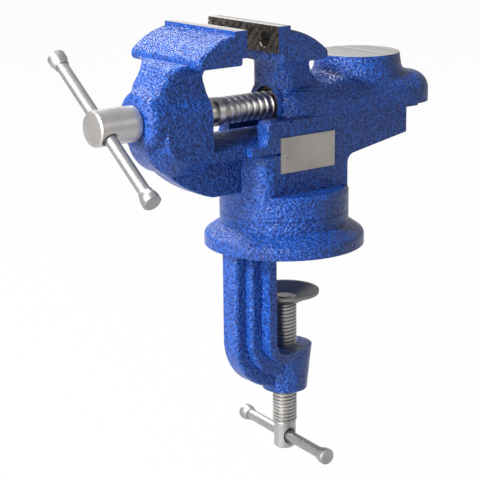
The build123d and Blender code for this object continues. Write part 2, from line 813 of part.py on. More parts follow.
def keel():
    """Rib under the block and the beam: a long curve at the front, then level to its rear end."""
    with BuildPart() as rib:
        with BuildSketch(Plane.XZ):
            with BuildLine():
                ThreePointArc((keel_front, keel_front_z), (keel_mid, keel_mid_z), (keel_level, keel_bottom))
                Polyline(
                    (keel_level, keel_bottom), (keel_rear, keel_bottom),
                    (keel_rear, beam_bottom + overlap), (keel_front, beam_bottom + overlap),
                    (keel_front, keel_front_z),
                )
            make_face()
        extrude(amount=keel_half, both=True)
        low = [
            e for e in rib.edges()
            if abs(abs(e.center().Y) - keel_half) < snap and e.center().Z < belly_low
            and e.center().X < keel_rear - snap
        ]
        fillet(low, keel_round)
    return rib.part


spindle_clear = spindle_neck_radius + running_gap
neck_part = neck_block()
boss_part = boss()
belly_part = belly()
keel_part = keel()
wing_part = wings(rear_jaw_face - jaw_gap - plate_thickness, front_jaw_back, jaw_underside)

with BuildPart() as moving_jaw:
    add(belly_part)
    add(boss_part)
    add(neck_part)
    add(keel_part)
    with BuildSketch(square_to_x(boss_rear - overlap)):
        with BuildLine():
            beam_outline()
        make_face()
    extrude(amount=beam_length + overlap)
    crease = moving_jaw.edges().filter_by(GeomType.LINE).filter_by(
        lambda e: abs(abs(e.center().Y) - front_neck_half) < snap
        and spindle_z < e.center().Z < spindle_z + boss_radius
        and abs(e.vertices()[0].Z - e.vertices()[1].Z) < snap
    )
    fillet(crease, boss_blend)
    add(wing_part)
    with Locations((boss_rear, 0, beam_top - relief_depth)):
        Box(
            relief_length, 2 * relief_half, relief_depth + overlap,
            align=(Align.MIN, Align.CENTER, Align.MIN), mode=Mode.SUBTRACT,
        )
    with BuildSketch(along_x(boss_front - overlap, spindle_z)):
        Circle(spindle_clear)
    extrude(amount=boss_rear - boss_front + 2 * overlap, mode=Mode.SUBTRACT)
    with BuildSketch(square_to_x(rear_jaw_face - jaw_gap)):
        with Locations((-plate_screw_y, plate_screw_z), (plate_screw_y, plate_screw_z)):
            Circle(plate_screw_radius)
    extrude(amount=-(plate_screw_sink + plate_screw_length), mode=Mode.SUBTRACT)
moving_jaw.part.label = "moving_jaw"
export_step(moving_jaw.part, "parts/moving_jaw.step")


# ---- hardened jaw plates and their screws -----------------------------------------------------------
def jaw_plate(face_x, faces_rear):
    """Plate with crossed grooves on its gripping face and two countersunk screw holes."""
    grip = 1 if faces_rear else -1
    back_x = face_x - grip * plate_thickness
    centre_z = jaw_top - plate_height / 2
    with BuildPart() as plate:
        with Locations(((face_x + back_x) / 2, 0, centre_z)):
            Box(plate_thickness, 2 * jaw_half, plate_height)
        # crossed grooves at 45 degrees
        reach = jaw_half + plate_height
        count = int(2 * reach / plate_groove_step)
        for lean in (45, -45):
            for index in range(count + 1):
                y = -reach + index * plate_groove_step
                with Locations(Location((face_x, y, centre_z), (lean, 0, 0))):
                    Box(
                        2 * plate_groove, plate_groove_width, 3 * plate_height,
                        mode=Mode.SUBTRACT,
                    )
        for y in (-plate_screw_y, plate_screw_y):
            seat_plane = Plane(origin=(face_x, y, plate_screw_z), z_dir=(grip, 0, 0))
            with Locations(seat_plane):
                CounterSinkHole(
                    plate_screw_radius + running_gap, plate_screw_head + plate_screw_sink,
                    counter_sink_angle=90,
                )
    return plate.part


front_face = rear_jaw_face - jaw_gap
front_plate = jaw_plate(front_face, True)
with BuildPart() as front_jaw_plate:
    add(front_plate)
front_jaw_plate.part.label = "front_jaw_plate"
export_step(front_jaw_plate.part, "parts/front_jaw_plate.step")

rear_plate = jaw_plate(rear_jaw_face, False)
with BuildPart() as rear_jaw_plate:
    add(rear_plate)
rear_jaw_plate.part.label = "rear_jaw_plate"
export_step(rear_jaw_plate.part, "parts/rear_jaw_plate.step")


def plate_screw(face_x, faces_rear, y):
    """Countersunk slotted screw of a jaw plate, its head just below the gripping face."""
    grip = 1 if faces_rear else -1
    with BuildPart() as screw:
        with BuildSketch(Plane.XZ):
            with BuildLine():
                Polyline(
                    (0, 0), (plate_screw_head, 0), (plate_screw_radius, -plate_screw_head_depth),
                    (plate_screw_radius, -plate_screw_length), (0, -plate_screw_length), close=True,
                )
            make_face()
        revolve(axis=Axis.Z)
        Box(
            2 * plate_screw_head, drive_slot_width, 2 * drive_slot_depth, mode=Mode.SUBTRACT,
        )
    place = Plane(
        origin=(face_x - grip * plate_screw_sink, y, plate_screw_z), x_dir=(0, 1, 0), z_dir=(grip, 0, 0),
    )
    return screw.part.moved(place.location)


screw_sets = [
    ("front_plate_screws", front_face, True),
    ("rear_plate_screws", rear_jaw_face, False),
]
for screw_name, screw_face, screw_way in screw_sets:
    screw_pair = [plate_screw(screw_face, screw_way, y) for y in (-plate_screw_y, plate_screw_y)]
    with BuildPart() as plate_screws:
        add(screw_pair)
    plate_screws.part.label = screw_name
    export_step(plate_screws.part, f"parts/{screw_name}.step")


# ---- jaw spindle, its thrust washer and retaining ring ----------------------------------------------
spindle_line = along_x(0, spindle_z)
head_rear = head_front + head_length
washer_front = boss_rear + thrust_gap
washer_back = washer_front + thrust_washer
ring_front = washer_back
ring_back = ring_front + ring_thickness
ring_seat_radius = spindle_neck_radius - ring_groove_depth
blank_end = spindle_groove_rear + spindle_blank
ridge_start = blank_end - spindle_pitch / 2
spindle_ridge = thread_ridge(
    spindle_core_radius, spindle_radius, spindle_pitch,
    ridge_start, spindle_end - spindle_tip - spindle_pitch - ridge_start,
)

with BuildPart() as spindle_upright:
    with BuildSketch(Plane.XZ):
        with BuildLine():
            Polyline(
                (0, head_front), (head_radius - head_chamfer, head_front),
                (head_radius, head_front + head_chamfer), (head_radius, head_rear - head_chamfer),
                (head_radius - head_chamfer, head_rear), (spindle_neck_radius, head_rear),
                (spindle_neck_radius, ring_front), (ring_seat_radius, ring_front),
                (ring_seat_radius, ring_back), (spindle_neck_radius, ring_back),
                (spindle_neck_radius, spindle_groove_front),
                (spindle_groove_radius, spindle_groove_front), (spindle_groove_radius, spindle_groove_rear),
                (spindle_blank_radius, spindle_groove_rear), (spindle_blank_radius, blank_end),
                (spindle_core_radius, blank_end + spindle_tip),
                (spindle_core_radius, spindle_end - spindle_tip),
                (spindle_core_radius - spindle_tip / 2, spindle_end), (0, spindle_end), close=True,
            )
        make_face()
    revolve(axis=Axis.Z)
    add(spindle_ridge)

handle_line = Plane(
    origin=(handle_x, 0, spindle_z), x_dir=(1, 0, 0),
    z_dir=(0, math.cos(math.radians(handle_tilt)), math.sin(math.radians(handle_tilt))),
)
spindle_part = spindle_upright.part.moved(spindle_line.location)
handle_hole = bar_hole(handle_line, handle_radius, head_radius)
with BuildPart() as spindle:
    add(spindle_part)
    add(handle_hole, mode=Mode.SUBTRACT)
spindle.part.label = "spindle"
export_step(spindle.part, "parts/spindle.step")

with BuildPart() as thrust_washer_ring:
    with BuildSketch(along_x(washer_front, spindle_z)):
        Circle(ring_radius + washer_over)
        Circle(spindle_clear, mode=Mode.SUBTRACT)
    extrude(amount=thrust_washer)
thrust_washer_ring.part.label = "spindle_thrust_washer"
export_step(thrust_washer_ring.part, "parts/spindle_thrust_washer.step")

with BuildPart() as retaining_ring:
    with BuildSketch(along_x(ring_front, spindle_z)):
        Circle(ring_radius)
        Circle(ring_seat_radius, mode=Mode.SUBTRACT)
        Rectangle(
            ring_opening, ring_radius + overlap, align=(Align.CENTER, Align.MAX), mode=Mode.SUBTRACT,
        )
    extrude(amount=ring_thickness)
retaining_ring.part.label = "spindle_retaining_ring"
export_step(retaining_ring.part, "parts/spindle_retaining_ring.step")

with BuildPart() as spindle_nut:
    with BuildSketch(along_x(nut_front, spindle_z)):
        Circle(nut_radius - seat_gap)
        Circle(spindle_radius + running_gap, mode=Mode.SUBTRACT)
    extrude(amount=nut_length)
    nut_ends = spindle_nut.edges().filter_by(GeomType.CIRCLE)
    chamfer(nut_ends.group_by(SortBy.RADIUS)[0], nut_lead)
    with BuildSketch(Plane.XZ.offset(-nut_radius)):
        with Locations((nut_screw_x, spindle_z)):
            Circle(nut_screw_radius)
    extrude(amount=nut_screw_depth, mode=Mode.SUBTRACT)
spindle_nut.part.label = "spindle_nut"
export_step(spindle_nut.part, "parts/spindle_nut.step")

with BuildPart() as nut_screw:
    with BuildSketch(Plane.XZ.offset(nut_screw_depth - nut_radius)):
        with Locations((nut_screw_x, spindle_z)):
            Circle(nut_screw_radius)
    extrude(amount=-nut_screw_length)
    with BuildSketch(Plane.XZ.offset(nut_screw_depth - nut_radius - nut_screw_length)):
        with Locations((nut_screw_x, spindle_z)):
            RegularPolygon(nut_screw_key, 6)
    extrude(amount=nut_screw_key_depth, mode=Mode.SUBTRACT)
nut_screw.part.label = "nut_set_screw"
export_step(nut_screw.part, "parts/nut_set_screw.step")


# ---- tommy bars and their knobs ---------------------------------------------------------------------
def knob(radius, length, bar_radius):
    """Turned end knob about Z: a neck that flares to a flat-faced button, bored for the bar."""
    neck = bar_radius + (radius - bar_radius) / 3
    crown = length * knob_crown_share
    with BuildPart() as button:
        with BuildSketch(Plane.XZ):
            with BuildLine():
                Line((bar_radius, 0), (neck, 0))
                Line((neck, 0), (neck, length * knob_neck_share))
                Spline(
                    (neck, length * knob_neck_share), (radius, length - crown),
                    tangents=((0.35, 1), (0.1, 1)),
                )
                Line((radius, length - crown), (radius, length - knob_edge))
                Line((radius, length - knob_edge), (radius - knob_edge, length))
                Line((radius - knob_edge, length), (0, length))
                Line((0, length), (0, length - knob_cap))
                Line((0, length - knob_cap), (bar_radius, length - knob_cap))
                Line((bar_radius, length - knob_cap), (bar_radius, 0))
            make_face()
        revolve(axis=Axis.Z)
    return button.part


clamp_bar_angle = math.radians(clamp_bar_turn)
clamp_bar_line = Plane(
    origin=(0, 0, clamp_bar_height), x_dir=(0, 0, 1),
    z_dir=(-math.sin(clamp_bar_angle), math.cos(clamp_bar_angle), 0),
)
bar_sets = [
    ("handle", handle_line, handle_radius, handle_length, knob_radius, knob_length),
    ("clamp", clamp_bar_line, clamp_bar_radius, clamp_bar_length, clamp_knob_radius, clamp_knob_length),
]
for bar_name, bar_line, bar_radius, bar_span, end_radius, end_length in bar_sets:
    bar_half = bar_span / 2 + end_length / 2 - knob_cap
    with BuildPart() as bar:
        with BuildSketch(bar_line):
            Circle(bar_radius)
        extrude(amount=bar_half, both=True)
    bar.part.label = f"{bar_name}_bar"
    export_step(bar.part, f"parts/{bar_name}_bar.step")
    button = knob(end_radius, end_length, bar_radius)
    flipped = button.rotate(Axis.X, 180)
    reach = bar_span / 2 - end_length / 2
    upper = button.moved(Location((0, 0, reach))).moved(bar_line.location)
    lower = flipped.moved(Location((0, 0, -reach))).moved(bar_line.location)
    for end_name, end_piece in (("far", upper), ("near", lower)):
        with BuildPart() as bar_knob:
            add(end_piece)
        bar_knob.part.label = f"{bar_name}_knob_{end_name}"
        export_step(bar_knob.part, f"parts/{bar_name}_knob_{end_name}.step")


# ---- clamp screw, pressure pad and pad ring -----------------------------------------------------------
pad_seat = pad_rim_height - pad_depth - pad_thickness / 2
pad_hub_top = pad_seat + pad_thickness
journal_top = pad_hub_top + thrust_gap + pad_ring_thickness + pad_peen
clamp_thread_top = pad_seat - thrust_gap - clamp_collar
clamp_ridge = thread_ridge(
    clamp_core_radius, clamp_radius, clamp_pitch,
    clamp_thread_bottom, clamp_thread_top - clamp_thread_bottom,
)
clamp_bar_hole = bar_hole(clamp_bar_line, clamp_bar_radius, clamp_plain_radius)

with BuildPart() as clamp_screw:
    with BuildSketch(Plane.XZ):
        with BuildLine():
            Polyline(
                (0, clamp_end), (clamp_plain_radius - clamp_chamfer, clamp_end),
                (clamp_plain_radius, clamp_end + clamp_chamfer), (clamp_plain_radius, clamp_thread_bottom),
                (clamp_core_radius, clamp_thread_bottom + clamp_chamfer),
                (clamp_core_radius, pad_seat - thrust_gap), (pad_journal_radius, pad_seat - thrust_gap),
                (pad_journal_radius, journal_top), (0, journal_top), close=True,
            )
        make_face()
    revolve(axis=Axis.Z)
    add(clamp_ridge)
    add(clamp_bar_hole, mode=Mode.SUBTRACT)
clamp_screw.part.label = "clamp_screw"
export_step(clamp_screw.part, "parts/clamp_screw.step")

with BuildPart() as pressure_pad:
    with BuildSketch(Plane.XZ) as pad_profile:
        with BuildLine():
            Polyline(
                (pad_journal_radius + running_gap, pad_seat), (pad_hub_radius, pad_seat),
                (pad_radius - pad_lip, pad_rim_height - pad_lip), (pad_radius, pad_rim_height - pad_lip),
                (pad_radius, pad_rim_height), (pad_radius - pad_lip, pad_rim_height),
                (pad_hub_radius, pad_hub_top), (pad_journal_radius + running_gap, pad_hub_top), close=True,
            )
        make_face()
        fillet(pad_profile.vertices().sort_by_distance((pad_hub_radius, pad_hub_top))[0], pad_dish_round)
    revolve(axis=Axis.Z)
pressure_pad.part.label = "pressure_pad"
export_step(pressure_pad.part, "parts/pressure_pad.step")

with BuildPart() as pad_ring:
    with BuildSketch(Plane.XY.offset(pad_hub_top + thrust_gap)):
        Circle(pad_ring_radius)
        Circle(pad_journal_radius + seat_gap, mode=Mode.SUBTRACT)
    extrude(amount=pad_ring_thickness)
pad_ring.part.label = "pad_retaining_ring"
export_step(pad_ring.part, "parts/pad_retaining_ring.step")


# ---- pivot bolt and washer in the recess under the base -----------------------------------------------
washer_top = floor_bottom - thrust_gap
washer_low = washer_top - pivot_washer_thickness

with BuildPart() as pivot_washer:
    with BuildSketch(Plane.XY.offset(washer_low)):
        Circle(pivot_washer_radius)
        Circle(pivot_radius, mode=Mode.SUBTRACT)
    extrude(amount=pivot_washer_thickness)
pivot_washer.part.label = "pivot_washer"
export_step(pivot_washer.part, "parts/pivot_washer.step")

with BuildPart() as pivot_bolt:
    with BuildSketch(Plane.XY.offset(washer_low - pivot_head_height)):
        RegularPolygon(pivot_head_radius, 6)
    extrude(amount=pivot_head_height)
    with Locations((0, 0, washer_low)):
        Cylinder(
            pivot_radius, spigot_bottom + pivot_thread_depth - washer_low,
            align=(Align.CENTER, Align.CENTER, Align.MIN),
        )
pivot_bolt.part.label = "pivot_bolt"
export_step(pivot_bolt.part, "parts/pivot_bolt.step")


# ---- swivel lock on the far side: screw, cross pin and shoe -------------------------------------------
lock_line = Plane(origin=(0, 0, lock_z), x_dir=(1, 0, 0), z_dir=(0, 1, 0))
shoe_start = spigot_radius + face_gap
shoe_end = shoe_start + lock_shoe_length
lock_start = shoe_end + thrust_gap
pin_y = lock_head_start + lock_head_length * lock_pin_share

with BuildPart() as lock_shoe:
    with BuildSketch(lock_line.offset(shoe_start)):
        Circle(lock_radius)
    extrude(amount=lock_shoe_length)
lock_shoe.part.label = "swivel_lock_shoe"
export_step(lock_shoe.part, "parts/swivel_lock_shoe.step")

with BuildPart() as lock_screw:
    with BuildSketch(lock_line.offset(lock_start)):
        Circle(lock_radius)
    extrude(amount=lock_head_start - lock_start)
    with BuildSketch(lock_line.offset(lock_head_start)):
        Circle(lock_head_radius)
    extrude(amount=lock_head_length)
    chamfer(lock_screw.edges().filter_by(GeomType.CIRCLE).sort_by(Axis.Y)[-1], lock_chamfer)
    with BuildSketch(Plane.YZ):
        with Locations((pin_y, lock_z)):
            Circle(lock_pin_radius)
    extrude(amount=2 * lock_head_radius, both=True, mode=Mode.SUBTRACT)
lock_screw.part.label = "swivel_lock_screw"
export_step(lock_screw.part, "parts/swivel_lock_screw.step")

with BuildPart() as lock_pin:
    with BuildSketch(Plane.YZ):
        with Locations((pin_y, lock_z)):
            Circle(lock_pin_radius)
    extrude(amount=lock_pin_length / 2, both=True)
    chamfer(lock_pin.edges().filter_by(GeomType.CIRCLE), lock_chamfer)
lock_pin.part.label = "swivel_lock_pin"
export_step(lock_pin.part, "parts/swivel_lock_pin.step")


# ---- name plate, left bare, and its rivets ------------------------------------------------------------
with BuildPart() as name_plate:
    with BuildSketch(Plane.XZ.offset(body_half)):
        with Locations(((plate_x0 + plate_x1) / 2, plate_mid_z)):
            Rectangle(plate_x1 - plate_x0, plate_z1 - plate_z0)
        with Locations(*rivet_places):
            Circle(rivet_shank, mode=Mode.SUBTRACT)
    extrude(amount=name_plate_thickness)
name_plate.part.label = "name_plate"
export_step(name_plate.part, "parts/name_plate.step")


def rivet(x, z):
    """Round-headed drive rivet, its shank through the plate into the casting."""
    face = body_half + name_plate_thickness
    low = -name_plate_thickness - rivet_depth
    with BuildPart() as pin:
        with BuildSketch(Plane.XZ):
            with BuildLine():
                Line((0, rivet_head), (0, low))
                Line((0, low), (rivet_shank, low))
                Line((rivet_shank, low), (rivet_shank, 0))
                Line((rivet_shank, 0), (rivet_radius, 0))
                TangentArc((0, rivet_head), (rivet_radius, 0), tangent=(1, 0))
            make_face()
        revolve(axis=Axis.Z)
    return pin.part.moved(Plane(origin=(x, -face, z), x_dir=(1, 0, 0), z_dir=(0, -1, 0)).location)


rivet_pair = [rivet(x, z) for x, z in rivet_places]
with BuildPart() as name_plate_rivets:
    add(rivet_pair)
name_plate_rivets.part.label = "name_plate_rivets"
export_step(name_plate_rivets.part, "parts/name_plate_rivets.step")
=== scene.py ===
"""Looks of the clamp-on swivel bench vise: materials, floor, light and the photo's camera.

Lengths are in metres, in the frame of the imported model: +Z is up, -X is towards the handle and -Y
towards the name plate.
"""

import json
import math

import bpy
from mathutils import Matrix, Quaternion, Vector


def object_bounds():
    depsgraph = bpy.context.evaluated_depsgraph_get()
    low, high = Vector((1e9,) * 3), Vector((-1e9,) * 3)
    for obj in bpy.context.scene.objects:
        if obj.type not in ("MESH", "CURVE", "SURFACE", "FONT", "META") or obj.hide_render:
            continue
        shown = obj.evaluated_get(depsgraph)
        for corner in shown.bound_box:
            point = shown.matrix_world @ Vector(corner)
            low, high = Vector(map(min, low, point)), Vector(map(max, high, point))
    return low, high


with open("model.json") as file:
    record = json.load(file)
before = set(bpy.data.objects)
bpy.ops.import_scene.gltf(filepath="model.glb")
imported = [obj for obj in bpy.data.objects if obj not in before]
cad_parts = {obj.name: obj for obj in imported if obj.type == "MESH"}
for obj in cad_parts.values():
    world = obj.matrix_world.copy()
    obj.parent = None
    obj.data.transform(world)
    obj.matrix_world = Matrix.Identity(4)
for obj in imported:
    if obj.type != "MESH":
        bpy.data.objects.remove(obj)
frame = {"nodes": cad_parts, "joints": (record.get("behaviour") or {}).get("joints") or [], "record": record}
cad_box = [list(corner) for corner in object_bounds()]
nodes = frame["nodes"]
joints = {joint["name"]: joint for joint in frame["joints"]}
mounts = {mount["name"]: mount for mount in frame["record"]["mounts"]}
MM = 0.001
X, Y, Z = range(3)
WHITE = (1.0, 1.0, 1.0, 1.0)


# ---- nodes --------------------------------------------------------------------------------------
# Where a Mix node has its two inputs and its output, for each type of data that it mixes.
MIX_SOCKETS = {"RGBA": (6, 7, 2), "VECTOR": (4, 5, 1)}

# Most of a noise lies between these two levels.
NOISE_LOW = 0.3
NOISE_HIGH = 0.7


class Nodes:
    """Short calls that add nodes to a tree and link them."""

    def __init__(self, tree):
        self.tree = tree

    def add(self, kind, **settings):
        node = self.tree.nodes.new(kind)
        for key, value in settings.items():
            setattr(node, key, value)
        return node

    def put(self, socket, value):
        """Link another node's output to the socket, or give the socket a fixed value."""
        if isinstance(value, bpy.types.NodeSocket):
            self.tree.links.new(value, socket)
        else:
            socket.default_value = value

    def put_each(self, sockets, values):
        for socket, value in zip(sockets, values):
            self.put(socket, value)

    def math(self, operation, *values, clamp=False):
        node = self.add("ShaderNodeMath", operation=operation, use_clamp=clamp)
        self.put_each(node.inputs, values)
        return node.outputs[0]

    def both(self, first, second):
        """1 where two masks are both 1."""
        return self.math("MULTIPLY", first, second)

    def above(self, value, limit):
        """1 where the value is over the limit."""
        return self.math("GREATER_THAN", value, limit)

    def weighted(self, base, value, weight):
        """base + value * weight."""
        return self.math("MULTIPLY_ADD", value, weight, base)


class Shader(Nodes):
    """A new material and the nodes that its surface is made of."""

    def __init__(self, name):
        self.material = bpy.data.materials.new(name)
        self.material.use_nodes = True
        super().__init__(self.material.node_tree)
        self.bsdf = self.tree.nodes["Principled BSDF"]
        self.normal = self.add("ShaderNodeNewGeometry").outputs["Normal"]
        self.place = self.add("ShaderNodeTexCoord").outputs["Object"]

    def between(self, value, low, high, to_low=0.0, to_high=1.0):
        """Smooth step of the value from low to high, mapped to to_low...to_high."""
        node = self.add("ShaderNodeMapRange", interpolation_type="SMOOTHSTEP")
        self.put_each(node.inputs, (value, low, high, to_low, to_high))
        return node.outputs["Result"]

    def spread(self, noise, to_low=0.0, to_high=1.0):
        """A noise, which keeps near its middle, spread over the whole of to_low...to_high."""
        return self.between(noise, NOISE_LOW, NOISE_HIGH, to_low, to_high)

    def mix(self, factor, first, second, data_type="RGBA"):
        """The first where the factor is 0 and the second where it is 1."""
        node = self.add("ShaderNodeMix", data_type=data_type)
        first_input, second_input, output = MIX_SOCKETS[data_type]
        self.put(node.inputs["Factor"], factor)
        self.put(node.inputs[first_input], first)
        self.put(node.inputs[second_input], second)
        return node.outputs[output]

    def coordinate(self, vector, axis):
        node = self.add("ShaderNodeSeparateXYZ")
        self.put(node.inputs["Vector"], vector)
        return node.outputs[axis]

    def noise(self, scale, detail=3.0, roughness=0.5, place=None):
        """Noise with so many waves a metre."""
        node = self.add("ShaderNodeTexNoise")
        self.put(node.inputs["Vector"], self.place if place is None else place)
        self.put(node.inputs["Scale"], scale)
        self.put(node.inputs["Detail"], detail)
        self.put(node.inputs["Roughness"], roughness)
        return node.outputs["Fac"]

    def tool_marks(self, axis, across, along):
        """Noise drawn out along one axis: so many waves a metre across it and along it."""
        waves = [across, across, across]
        waves[axis] = along
        stretch = self.add("ShaderNodeMapping")
        self.put(stretch.inputs["Vector"], self.place)
        self.put(stretch.inputs["Scale"], waves)
        return self.noise(1.0, roughness=0.6, place=stretch.outputs["Vector"])

    def cells(self, scale, smoothness):
        """Distance from the middle of the nearest cell, with soft borders between the cells."""
        node = self.add("ShaderNodeTexVoronoi", feature="SMOOTH_F1")
        self.put(node.inputs["Vector"], self.place)
        self.put(node.inputs["Scale"], scale)
        self.put(node.inputs["Smoothness"], smoothness)
        return node.outputs["Distance"]

    def bump(self, height, distance, strength=1.0):
        node = self.add("ShaderNodeBump")
        self.put(node.inputs["Height"], height)
        self.put(node.inputs["Distance"], distance)
        self.put(node.inputs["Strength"], strength)
        return node.outputs["Normal"]

    def finish(self, **inputs):
        """Fill the surface's inputs, whose names have _ for a space here."""
        for name, value in inputs.items():
            self.put(self.bsdf.inputs[name.replace("_", " ")], value)
        return self.material


def linear(level):
    """Display level, 0 to 255, as linear light, 0 to 1, by the sRGB curve."""
    share = level / 255
    if share <= 0.04045:
        return share / 12.92
    return ((share + 0.055) / 1.055) ** 2.4


def rgb(red, green, blue):
    """Display colour, 0 to 255, as the linear colour that a shader takes."""
    return (linear(red), linear(green), linear(blue), 1.0)


# ---- where the castings are bare ----------------------------------------------------------------
SKIN = 0.1 * MM                       # a mask reaches this far past its face
JAW_TOP = cad_box[1][Z]               # the ground strips on the jaws are the highest faces
JAW_END = 30.0 * MM                   # half the jaws' width
ANVIL_X, _, ANVIL_TOP = mounts["anvil_face"]["pos_m"]
ANVIL_REACH = 24.0 * MM               # a little more than the anvil's radius
LEVEL_FROM = 0.985                    # height of the normal where a face begins to be level
LEVEL_FULL = 0.995


def facing_up(s):
    """1 where the surface is level and faces up."""
    return s.between(s.coordinate(s.normal, Z), LEVEL_FROM, LEVEL_FULL)


def ground_jaw_top(s):
    return s.both(s.above(s.coordinate(s.place, Z), JAW_TOP - SKIN), facing_up(s))


def machined_tops(s):
    """1 on the faces of the castings that are ground bare: the jaw strips and the anvil."""
    height = s.coordinate(s.place, Z)
    below = s.math("LESS_THAN", height, ANVIL_TOP + SKIN)
    anvil_level = s.both(s.above(height, ANVIL_TOP - SKIN), below)
    behind = s.above(s.coordinate(s.place, X), ANVIL_X - ANVIL_REACH)
    anvil = s.both(s.both(anvil_level, behind), facing_up(s))
    return s.math("ADD", ground_jaw_top(s), anvil, clamp=True)


# ---- paint --------------------------------------------------------------------------------------
PAINT_DARK = rgb(10, 44, 114)
PAINT_LIGHT = rgb(38, 90, 182)
PAINT_ROUGHNESS = 0.20
PAINT_SHINE = 0.36
PAINT_TONE_LOW = 0.36                 # levels of the grain that are all dark and all light
PAINT_TONE_HIGH = 0.64
HAMMER_DEPTH = 0.75 * MM
HAMMER_CELLS = 620.0                  # hammered cells a metre
CELL_SMOOTHNESS = 0.4
CELL_SHARE = 0.8                      # share in the relief, where the grain's is 1
GRAIN_WAVES = 1.3 * HAMMER_CELLS
CAST_WAVES = 160.0                    # the slower unevenness of the cast surface
CAST_SHARE = 1.5

BARE_STEEL = rgb(212, 210, 208)
BARE_STEEL_DARK = rgb(168, 166, 164)
BARE_ROUGHNESS = 0.38
GROUND_MARKS = (900.0, 12.0)          # waves a metre, across and along
GROUND_DEPTH = 0.02 * MM


def hammered(s):
    """Colour and normal of enamel over a cast surface: fine hammered cells with glossy crests."""
    grain = s.noise(GRAIN_WAVES, detail=2.0, roughness=0.6)
    relief = s.weighted(grain, s.cells(HAMMER_CELLS, CELL_SMOOTHNESS), CELL_SHARE)
    relief = s.weighted(relief, s.noise(CAST_WAVES), CAST_SHARE)
    tone = s.between(grain, PAINT_TONE_LOW, PAINT_TONE_HIGH)
    return s.mix(tone, PAINT_DARK, PAINT_LIGHT), s.bump(relief, HAMMER_DEPTH)


def painted():
    """Hammered enamel all over."""
    s = Shader("hammered_blue_paint")
    colour, normal = hammered(s)
    return s.finish(
        Base_Color=colour, Roughness=PAINT_ROUGHNESS, Specular_IOR_Level=PAINT_SHINE,
        Normal=normal,
    )


def painted_with_bare_tops():
    """Hammered enamel, with bare steel where the casting is ground."""
    s = Shader("hammered_blue_paint_and_bare_tops")
    colour, normal = hammered(s)
    bare = machined_tops(s)
    marks = s.tool_marks(Y, *GROUND_MARKS)
    bare_colour = s.mix(s.spread(marks), BARE_STEEL_DARK, BARE_STEEL)
    bare_normal = s.bump(marks, GROUND_DEPTH)
    return s.finish(
        Base_Color=s.mix(bare, colour, bare_colour), Metallic=bare,
        Roughness=s.weighted(PAINT_ROUGHNESS, bare, BARE_ROUGHNESS - PAINT_ROUGHNESS),
        Specular_IOR_Level=PAINT_SHINE, Normal=s.mix(bare, normal, bare_normal, "VECTOR"),
    )


# ---- steel --------------------------------------------------------------------------------------
TURNED_MARKS = (1400.0, 20.0)         # waves a metre, across and along
TURNED_DEPTH = 0.02 * MM
TURNED_STRENGTH = 0.6
BRUSHED_DEPTH = 0.03 * MM
CLOUD_WAVES = 45.0
BRUSHED_CLOUD_WAVES = 60.0
CLOUD_SHADE = 0.78                    # the darker parts, as a share of the colour
BRUSHED_CLOUD_SHADE = 0.8
SMOOTHER = 0.05                       # how far the roughness swings each way
ROUGHER = 0.07

PLATE_DARK = rgb(66, 62, 60)
PLATE_LIGHT = rgb(124, 118, 113)
PLATE_ROUGHNESS = 0.42
PLATE_WAVES = 260.0
PLATE_DEPTH = 0.05 * MM
PLATE_STRENGTH = 0.5


def steel(
    name, colour, roughness, marks_axis,
    depth=TURNED_DEPTH, shade=CLOUD_SHADE, cloud_waves=CLOUD_WAVES,
):
    """Bare steel with faint clouds and fine tool marks that run along one axis of the frame."""
    s = Shader(name)
    marks = s.tool_marks(marks_axis, *TURNED_MARKS)
    cloud = s.noise(cloud_waves, roughness=0.6)
    darker = tuple(shade * part for part in colour[:3]) + (1.0,)
    return s.finish(
        Base_Color=s.mix(s.spread(cloud), darker, colour), Metallic=1.0,
        Roughness=s.spread(marks, roughness - SMOOTHER, roughness + ROUGHER),
        Normal=s.bump(marks, depth, TURNED_STRENGTH),
    )


def jaw_plate_steel():
    """Dark ground jaw plate with a bright top edge and painted ends."""
    s = Shader("jaw_plate_steel")
    cloud = s.noise(PLATE_WAVES, detail=4.0, roughness=0.7)
    face = s.mix(s.spread(cloud), PLATE_DARK, PLATE_LIGHT)
    metal = s.mix(ground_jaw_top(s), face, BARE_STEEL)
    ends = s.above(s.math("ABSOLUTE", s.coordinate(s.place, Y)), JAW_END - SKIN)
    paint_colour, _ = hammered(s)
    return s.finish(
        Base_Color=s.mix(ends, metal, paint_colour), Metallic=s.math("SUBTRACT", 1.0, ends),
        Roughness=PLATE_ROUGHNESS, Normal=s.bump(cloud, PLATE_DEPTH, PLATE_STRENGTH),
    )


# ---- the material of each node ------------------------------------------------------------------
paint = painted()
cast_paint = painted_with_bare_tops()
jaw_steel = jaw_plate_steel()
bright_steel = steel("turned_bright_steel", rgb(206, 203, 200), 0.34, X)
bar_steel = steel("plated_bar_steel", rgb(178, 178, 178), 0.44, X)
screw_steel = steel("clamp_screw_steel", rgb(190, 188, 186), 0.38, Z)
pad_steel = steel("pressure_pad_steel", rgb(146, 144, 142), 0.42, Z)
brushed_steel = steel(
    "name_plate_steel", rgb(186, 180, 174), 0.36, X,
    BRUSHED_DEPTH, BRUSHED_CLOUD_SHADE, BRUSHED_CLOUD_WAVES,
)
zinc_steel = steel("zinc_plated_steel", rgb(176, 176, 174), 0.35, Z)
# Dark steel of the jaw plate screws, made darker still as painted shade of the recesses that the screw heads
# sit in
dark_steel = steel("dark_screw_steel", rgb(44, 42, 40), 0.55, Z)
# Bronze, made darker than bare bronze as painted shade of the spindle nut's recessed face in its bore; the
# swivel lock shoe shares it
bronze = steel("dull_nut_bronze", rgb(104, 84, 58), 0.5, X)

